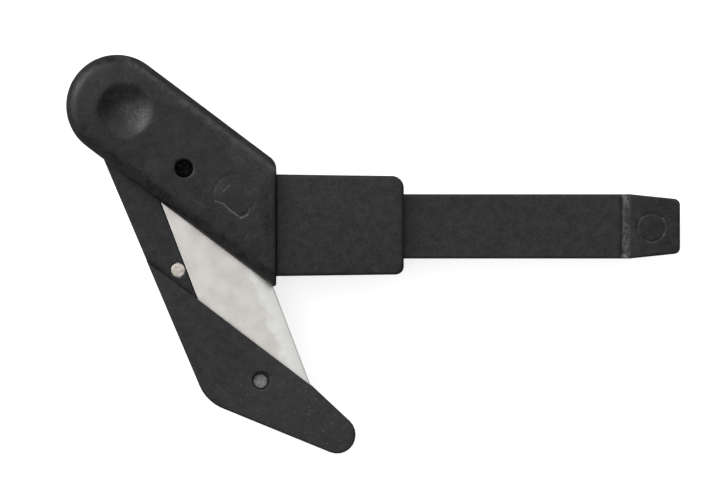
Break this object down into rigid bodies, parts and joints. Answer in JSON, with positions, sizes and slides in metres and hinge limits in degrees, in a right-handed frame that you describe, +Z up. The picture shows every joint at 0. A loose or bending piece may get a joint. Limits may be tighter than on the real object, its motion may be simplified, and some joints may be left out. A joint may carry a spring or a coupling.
{
  "type": "swivel knife head",
  "caption": "Hooked safety blade head with a thumb-rest grip cover, swivelling on a flat clip-in shank with a snap catch.",
  "frame": {"origin": "bottom centre of the whole knife's box, as it lies on its rear cover with the shank along +X", "axes": "+X from the head along the shank to the catch, +Y away from the nose of the hook, +Z up through the front cover"},
  "size_m": [0.088, 0.0572, 0.01],
  "materials": {
    "grip_nylon": "satin moulded nylon, faintly mottled and scuffed",
    "frame_nylon": "fine-grained glass-filled nylon, blue-black",
    "blade_steel": "ground strip steel with a brighter bevel",
    "pin_steel": "cropped dowel pin, dull end faces",
    "blackened_steel": "black oxide",
    "spring_steel": "oiled spring steel"
  },
  "bodies": {
    "shank": {"swivel_shank": "frame_nylon"},
    "head": {"front_cover": "grip_nylon", "rear_cover": "grip_nylon", "blade_carrier": "frame_nylon", "front_nose_plate": "frame_nylon", "rear_hook_plate": "frame_nylon", "blade": "blade_steel", "nose_pin": "pin_steel", "blade_back_pin": "pin_steel", "pivot_pin": "blackened_steel", "pivot_bush": "pin_steel", "front_thrust_washer": "spring_steel", "rear_thrust_washer": "spring_steel", "wave_washer": "spring_steel", "cover_pin_end": "pin_steel", "cover_pin_middle": "pin_steel"},
    "latch": {"latch_tongue": "frame_nylon"}
  },
  "joints": [
    {"name": "head_swivel", "type": "hinge", "parent": "shank", "child": "head", "pos_m": [-0.02705, 0.01224, 0.005], "axis": [0, 0, -1], "range_deg": [0, 45]},
    {"name": "latch_flex", "type": "hinge", "parent": "shank", "child": "latch", "pos_m": [0.0044, 0.00399, 0.005], "axis": [0, 1, 0], "range_deg": [0, 3.5], "stiffness_Nm_per_rad": 5.8}
  ]
}
